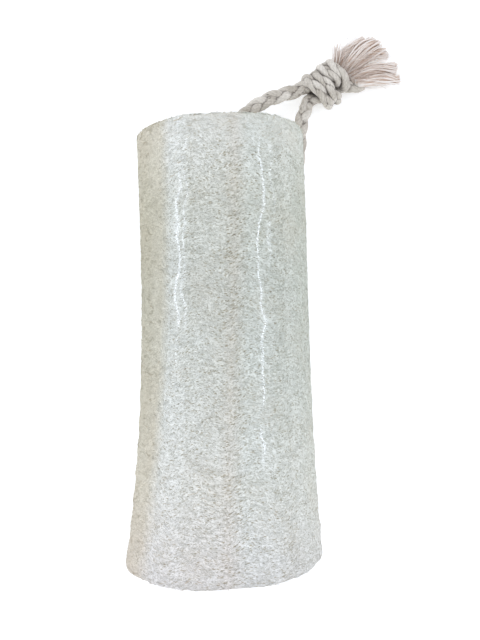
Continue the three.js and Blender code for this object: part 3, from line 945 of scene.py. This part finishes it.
def felted_loofah(name):
    """The felted wall: crimped fibres that cross at small angles, with lens-shaped pits between, which
    are painted darker as shade.
    """
    material, node = new_material(name)
    place = node("TexCoord").outputs["Object"]
    wrap, round_it = drifting(node, node("UVMap", uv_map="around_and_along"))
    net = crossing_fibres(node, wrap, NET_FIBRE_MM, NET_SLANTS, NET_SHARPNESS)
    under = crossing_fibres(node, wrap, FELT_FIBRE_MM, FELT_SLANTS, FELT_SHARPNESS)
    closed = closed_felt(node, wrap, round_it)
    net = node("Math", (net, NET_SHARE), operation="MULTIPLY")
    depth = node("Math", (closed, 0.4, 0.6), operation="MULTIPLY_ADD")
    height = in_steps(node, "Math", under, ("MULTIPLY_ADD", 1 - NET_SHARE, net), ("MULTIPLY", depth))

    speck = node("TexNoise", {"Vector": place, "Scale": 1 / (SPECK_MM * MM), "Detail": 1})
    mottle = node("Math", (height, 0.85), operation="MULTIPLY")
    mottle = node("Math", (speck, 0.3, mottle), operation="MULTIPLY_ADD")
    smooth = smoothed(node, place)
    even_out = node("Math", (SMOOTH_TONE, mottle), operation="SUBTRACT")
    mottle = node("Math", (even_out, smooth, mottle), operation="MULTIPLY_ADD")
    # The tones run from painted shade low between the fibres to the bleached fibres on top.
    tones = node("ValToRGB", [mottle], FELT_TONES_AND_PIT_SHADE)

    # Painted shade in the felt's gaps, less where the felt is evened out.
    rough = node("Math", (smooth, -1.2, 1.0), operation="MULTIPLY_ADD")
    gap_shade_amount = node("Math", (1.0, closed), operation="SUBTRACT")
    gap_shade_amount = node("Math", (gap_shade_amount, rough), operation="MULTIPLY")
    gaps = node("Mix", {0: gap_shade_amount, 6: WHITE, 7: linear(LOOFAH_GAP_SHADE)}, data_type="RGBA")
    colour = node("Mix", {0: 1.0, 6: tones, 7: gaps.outputs[2]}, **MULTIPLIED)
    patch = node("TexNoise", {"Vector": place, "Scale": 1 / (PATCH_MM * MM), "Detail": 3})
    warm = node("MapRange", (patch, 0.45, 0.75, 0.0, 0.24))
    still_tan = {0: warm, 6: colour.outputs[2], 7: linear(LOOFAH_TAN)}
    colour = node("Mix", still_tan, data_type="RGBA").outputs[2]
    colour = tint_and_painted_light_by_place(node, place, colour)
    bump = node("Bump", {"Height": height, "Strength": 0.8, "Distance": 0.35 * MM})
    surface = {"Base Color": colour, "Normal": bump, **DRY_FIBRE, **clear_layer(node, place)}
    node("OutputMaterial", {"Surface": node("BsdfPrincipled", surface)})
    return material


def loose_loofah(name, glossy):
    """Single loofah fibres: bleached ivory, each of its own shade, some still tan."""
    material, node = new_material(name)
    place = node("TexCoord").outputs["Object"]
    tone = node("Attribute", attribute_name="tone").outputs["Fac"]
    speck = node("TexNoise", {"Vector": place, "Scale": 1 / (FIBRE_SPECK_MM * MM), "Detail": 2})
    speck = node("Math", (speck, 0.2), operation="MULTIPLY")
    shade = node("Math", (tone, 0.8, speck), operation="MULTIPLY_ADD")
    tones = node("ValToRGB", [shade], FIBRE_TONES)
    surface = {"Base Color": tint_and_painted_light_by_place(node, place, tones.outputs[0]), **DRY_FIBRE}
    if glossy:
        surface.update(clear_layer(node, place))
    node("OutputMaterial", {"Surface": node("BsdfPrincipled", surface)})
    return material


felt.data.materials.clear()
felt.data.materials.append(felted_loofah("felted_loofah_fibre"))
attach(felt, "root")
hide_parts("loofah_body")

# ----------------------------------------
# Outer fibres: short flat crimped fibres of the gourd's outermost net, half sunk in the
# felt. They run mostly round the sponge and cross each other at small angles.
FINE_FIBRES = 9000
FINE_LAYERS = 3
FINE_LEAN = 0.28  # radians that single fibres stray from the rest
LEAN_ROUND = 0.16  # radians that the fibres lean, one way and the other, six times round
LEAN_PHASE = -42  # degrees
LEAN_ALONG = (0.1, 11 * MM)  # the same along the sponge, and over how far
FLOOR_CLEARANCE = 0.12 * MM
FIBRE_FLATNESS = 0.6
# A kind of fibre: the points along it, then the least and most of its length, its wave in
# radians, its radius and its lift off the felt, and how far it weaves up and down, all in mm.
FINE_KIND = (4, (1.0, 3.0), (0.2, 0.7), (0.077, 0.154), (-0.06, 0.06), 0.04)


def settled(points):
    """The nearest places on the sponge's surface, and the directions out of it there."""
    found = [guide.find_nearest(Vector(p)) for p in points]
    return np.array([f[0] for f in found]), np.array([f[1] for f in found])


def lay_fibres(seeds, count, length, lean, wave, draw, flow):
    """Lines that follow the surface from each seed. lean and wave turn them off the flow."""
    place, out = settled(seeds)
    step = (length / (count - 1))[:, None]
    pace = draw.uniform(3.5, 8, len(seeds))
    phase = draw.uniform(0, 2 * np.pi, len(seeds))
    lines, outs = [place], [out]
    for number in range(count - 1):
        across = flow(place, out)
        upward = np.cross(across, out)
        turn = lean + wave * np.sin(phase + pace * number / (count - 1))
        way = across * np.cos(turn)[:, None] + upward * np.sin(turn)[:, None]
        place, out = settled(place + way * step)
        lines.append(place)
        outs.append(out)
    outs = np.stack(outs, 1)
    soft = outs.copy()
    soft[:, 1:-1] = outs[:, :-2] + outs[:, 1:-1] + outs[:, 2:]
    return np.stack(lines, 1), unit(soft)


def round_the_sponge(place, out):
    """The direction round the sponge's axis, leaning as the gourd's net does."""
    middle_x, middle_z = axis_place(place[:, 1])
    turn = np.arctan2(place[:, 2] - middle_z, place[:, 0] - middle_x)
    lean = LEAN_ROUND * np.sin(6 * turn + math.radians(LEAN_PHASE))
    lean = lean + LEAN_ALONG[0] * np.sin(place[:, 1] / LEAN_ALONG[1])
    across = unit(np.cross(out, [0, 1, 0]) + 1e-9)
    along = np.cross(across, out)
    return across * np.cos(lean)[:, None] + along * np.sin(lean)[:, None]


def fibre_rings(lines, outs, radius, lift, draw, weave):
    """Fibres as three-sided rings, lifted off the surface by a weave of ups and downs."""
    tubes, count = lines.shape[:2]
    share = np.linspace(0, 1, count)[None]
    start = draw.uniform(0, 2 * np.pi, (tubes, 1))
    pace = draw.uniform(5, 12, (tubes, 1))
    rise = lift[:, None] + weave * np.sin(start + share * pace)
    lines = lines + outs * rise[..., None]
    lines[..., 2] = np.maximum(lines[..., 2], FLOOR_CLEARANCE + radius[:, None])
    turn = (np.arange(3) / 3 + 1 / 12) * 2 * np.pi
    taper = 0.35 + 0.65 * np.sin(np.pi * np.linspace(0.06, 0.94, count)) ** 0.5
    outline = np.stack([np.cos(turn), FIBRE_FLATNESS * np.sin(turn)], -1)
    outline = radius[:, None, None, None] * taper[None, :, None, None] * outline
    return rings_round(lines, outs, outline)


def fibres_on_sponge(seeds, kind, lean, flow, draw):
    """Fibres of a kind from each seed, as rings. lean is a way to draw and its two values."""
    points, length, wave, radius, lift, weave = kind
    count = len(seeds)
    drawn, *values = lean
    length = draw.uniform(*length, count) * MM
    lean = drawn(*values, count)
    lines, outs = lay_fibres(seeds, points, length, lean, draw.uniform(*wave, count), draw, flow)
    radius = draw.uniform(*radius, count) * MM
    return fibre_rings(lines, outs, radius, draw.uniform(*lift, count) * MM, draw, weave * MM)


def fibre_piece(name, groups, tones, material):
    """A piece of loose fibres that belongs to the sponge."""
    piece = tubes_object(name, groups, tones)
    piece.data.materials.append(material)
    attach(piece, "root")


draw = np.random.default_rng(31)
seed_y = draw.uniform(SPONGE_ENDS[0] / MM, SPONGE_ENDS[1] / MM, FINE_FIBRES) * MM
seed_turn = draw.uniform(0, 2 * np.pi, FINE_FIBRES)
seed_x, seed_z = axis_place(seed_y)
far_out = 1.2 * SPONGE_RADIUS
seed_x = seed_x + far_out * np.cos(seed_turn)
seed_z = seed_z + far_out * np.sin(seed_turn)
fine_seeds = np.stack([seed_x, seed_y, seed_z], 1)
fine_lean = (draw.normal, 0, FINE_LEAN)
fine_rings = fibres_on_sponge(fine_seeds, FINE_KIND, fine_lean, round_the_sponge, draw)
fine_tones = np.clip(draw.normal(0.6, 0.25, FINE_FIBRES), 0, 1)
outer_material = loose_loofah("bleached_loofah_fibre", glossy=True)
layer_size = FINE_FIBRES // FINE_LAYERS
for layer in range(FINE_LAYERS):
    part = slice(layer * layer_size, (layer + 1) * layer_size)
    name = f"outer_fibres_layer_{layer + 1}"
    fibre_piece(name, [fine_rings[part]], [fine_tones[part]], outer_material)

# ----------------------------------------
# Cut ends: where the knife went through, fibres lie tangled on the face and short stubs
# of the lengthwise ones stand out of it.
ROPE_END_Y = 76.5 * MM
THICK_END_Y = -76.3 * MM
END_FIBRES = 900
END_KIND = (6, (2.5, 6.5), (0.2, 0.8), (0.096, 0.208), (-0.1, 0.3), 0.15)
STUBS = 450
STUB_LENGTH = 0.9 * MM
STUB_RADII = (0.08 * MM, 0.16 * MM)
cut_material = loose_loofah("cut_loofah_fibre", glossy=False)

for end_name, end_y in (("rope_end", ROPE_END_Y), ("thick_end", THICK_END_Y)):
    end_x, end_z = axis_place(end_y)
    turn = draw.uniform(0, 2 * np.pi, END_FIBRES + STUBS)
    reach = SPONGE_RADIUS * np.sqrt(draw.uniform(0.01, 0.97, len(turn)))
    just_past = np.full(len(turn), end_y * 1.06)
    seeds = np.stack([end_x + reach * np.cos(turn), just_past, end_z + reach * np.sin(turn)], 1)
    spin = unit(draw.normal(0, 1, (END_FIBRES, 3)))
    tangle = fibres_on_sponge(
        seeds[:END_FIBRES],
        END_KIND,
        (draw.uniform, 0, 6.3),
        lambda place, out: unit(np.cross(out, spin) + 1e-9),
        draw,
    )
    foot, out = settled(seeds[END_FIBRES:])
    tip_way = unit(out + 0.6 * draw.normal(0, 1, out.shape))
    tip_way = tip_way * STUB_LENGTH * draw.uniform(0.3, 1, (STUBS, 1))
    share = np.linspace(-0.3, 1, 3)[None, :, None]  # from a little under the face outwards
    stub_lines = foot[:, None] + share * tip_way[:, None]
    outline = draw.uniform(*STUB_RADII, (STUBS, 1, 1, 1)) * round_outline(3)
    stubs = rings_round(stub_lines, np.broadcast_to([0.3, 0.1, 1.0], stub_lines.shape), outline)
    stubs[..., 2] = np.maximum(stubs[..., 2], FLOOR_CLEARANCE)
    tangle_tones = np.clip(draw.normal(0.5, 0.3, END_FIBRES), 0, 1)
    stub_tones = np.clip(draw.normal(0.6, 0.3, STUBS), 0, 1)
    fibre_piece(f"{end_name}_cut_fibres", [tangle, stubs], [tangle_tones, stub_tones], cut_material)

# ----------------------------------------
# Cell walls: the three open cells that held the seeds are lined with coarse lengthwise
# fibres of the same gourd.
CELL_ANGLES = (-70, 50, 170)
CELL_FROM_AXIS = 14.6 * MM
CELL_SEED_RADII = (4.5 * MM, 7 * MM)  # inside the wall, towards the axis and across
CELL_FIBRES = 520
CELL_KIND = (7, (9.5, 22.8), (0.1, 0.5), (0.168, 0.364), (-0.1, 0.7), 0.3)
CELL_LEAN = 0.25


def along_the_sponge(place, out):
    """The direction along the sponge, in its surface."""
    return unit(np.array([0, 1, 0]) - out * out[:, 1:2] + 1e-9)


cell_rings, cell_tones = [], []
for angle in CELL_ANGLES:
    y = draw.uniform(-76, 66, CELL_FIBRES) * MM
    cell_x, cell_z = axis_place(y)
    round_cell = draw.uniform(0, 2 * np.pi, CELL_FIBRES)
    way = math.radians(angle)
    from_axis = CELL_FROM_AXIS + CELL_SEED_RADII[0] * np.cos(round_cell)
    across = CELL_SEED_RADII[1] * np.sin(round_cell)
    cell_x = cell_x + from_axis * math.cos(way) - across * math.sin(way)
    cell_z = cell_z + from_axis * math.sin(way) + across * math.cos(way)
    seeds = np.stack([cell_x, y, cell_z], 1)
    cell_lean = (draw.normal, 0, CELL_LEAN)
    cell_rings.append(fibres_on_sponge(seeds, CELL_KIND, cell_lean, along_the_sponge, draw))
    cell_tones.append(np.clip(draw.normal(0.45, 0.3, CELL_FIBRES), 0, 1))
fibre_piece("cell_wall_fibres", cell_rings, cell_tones, cut_material)
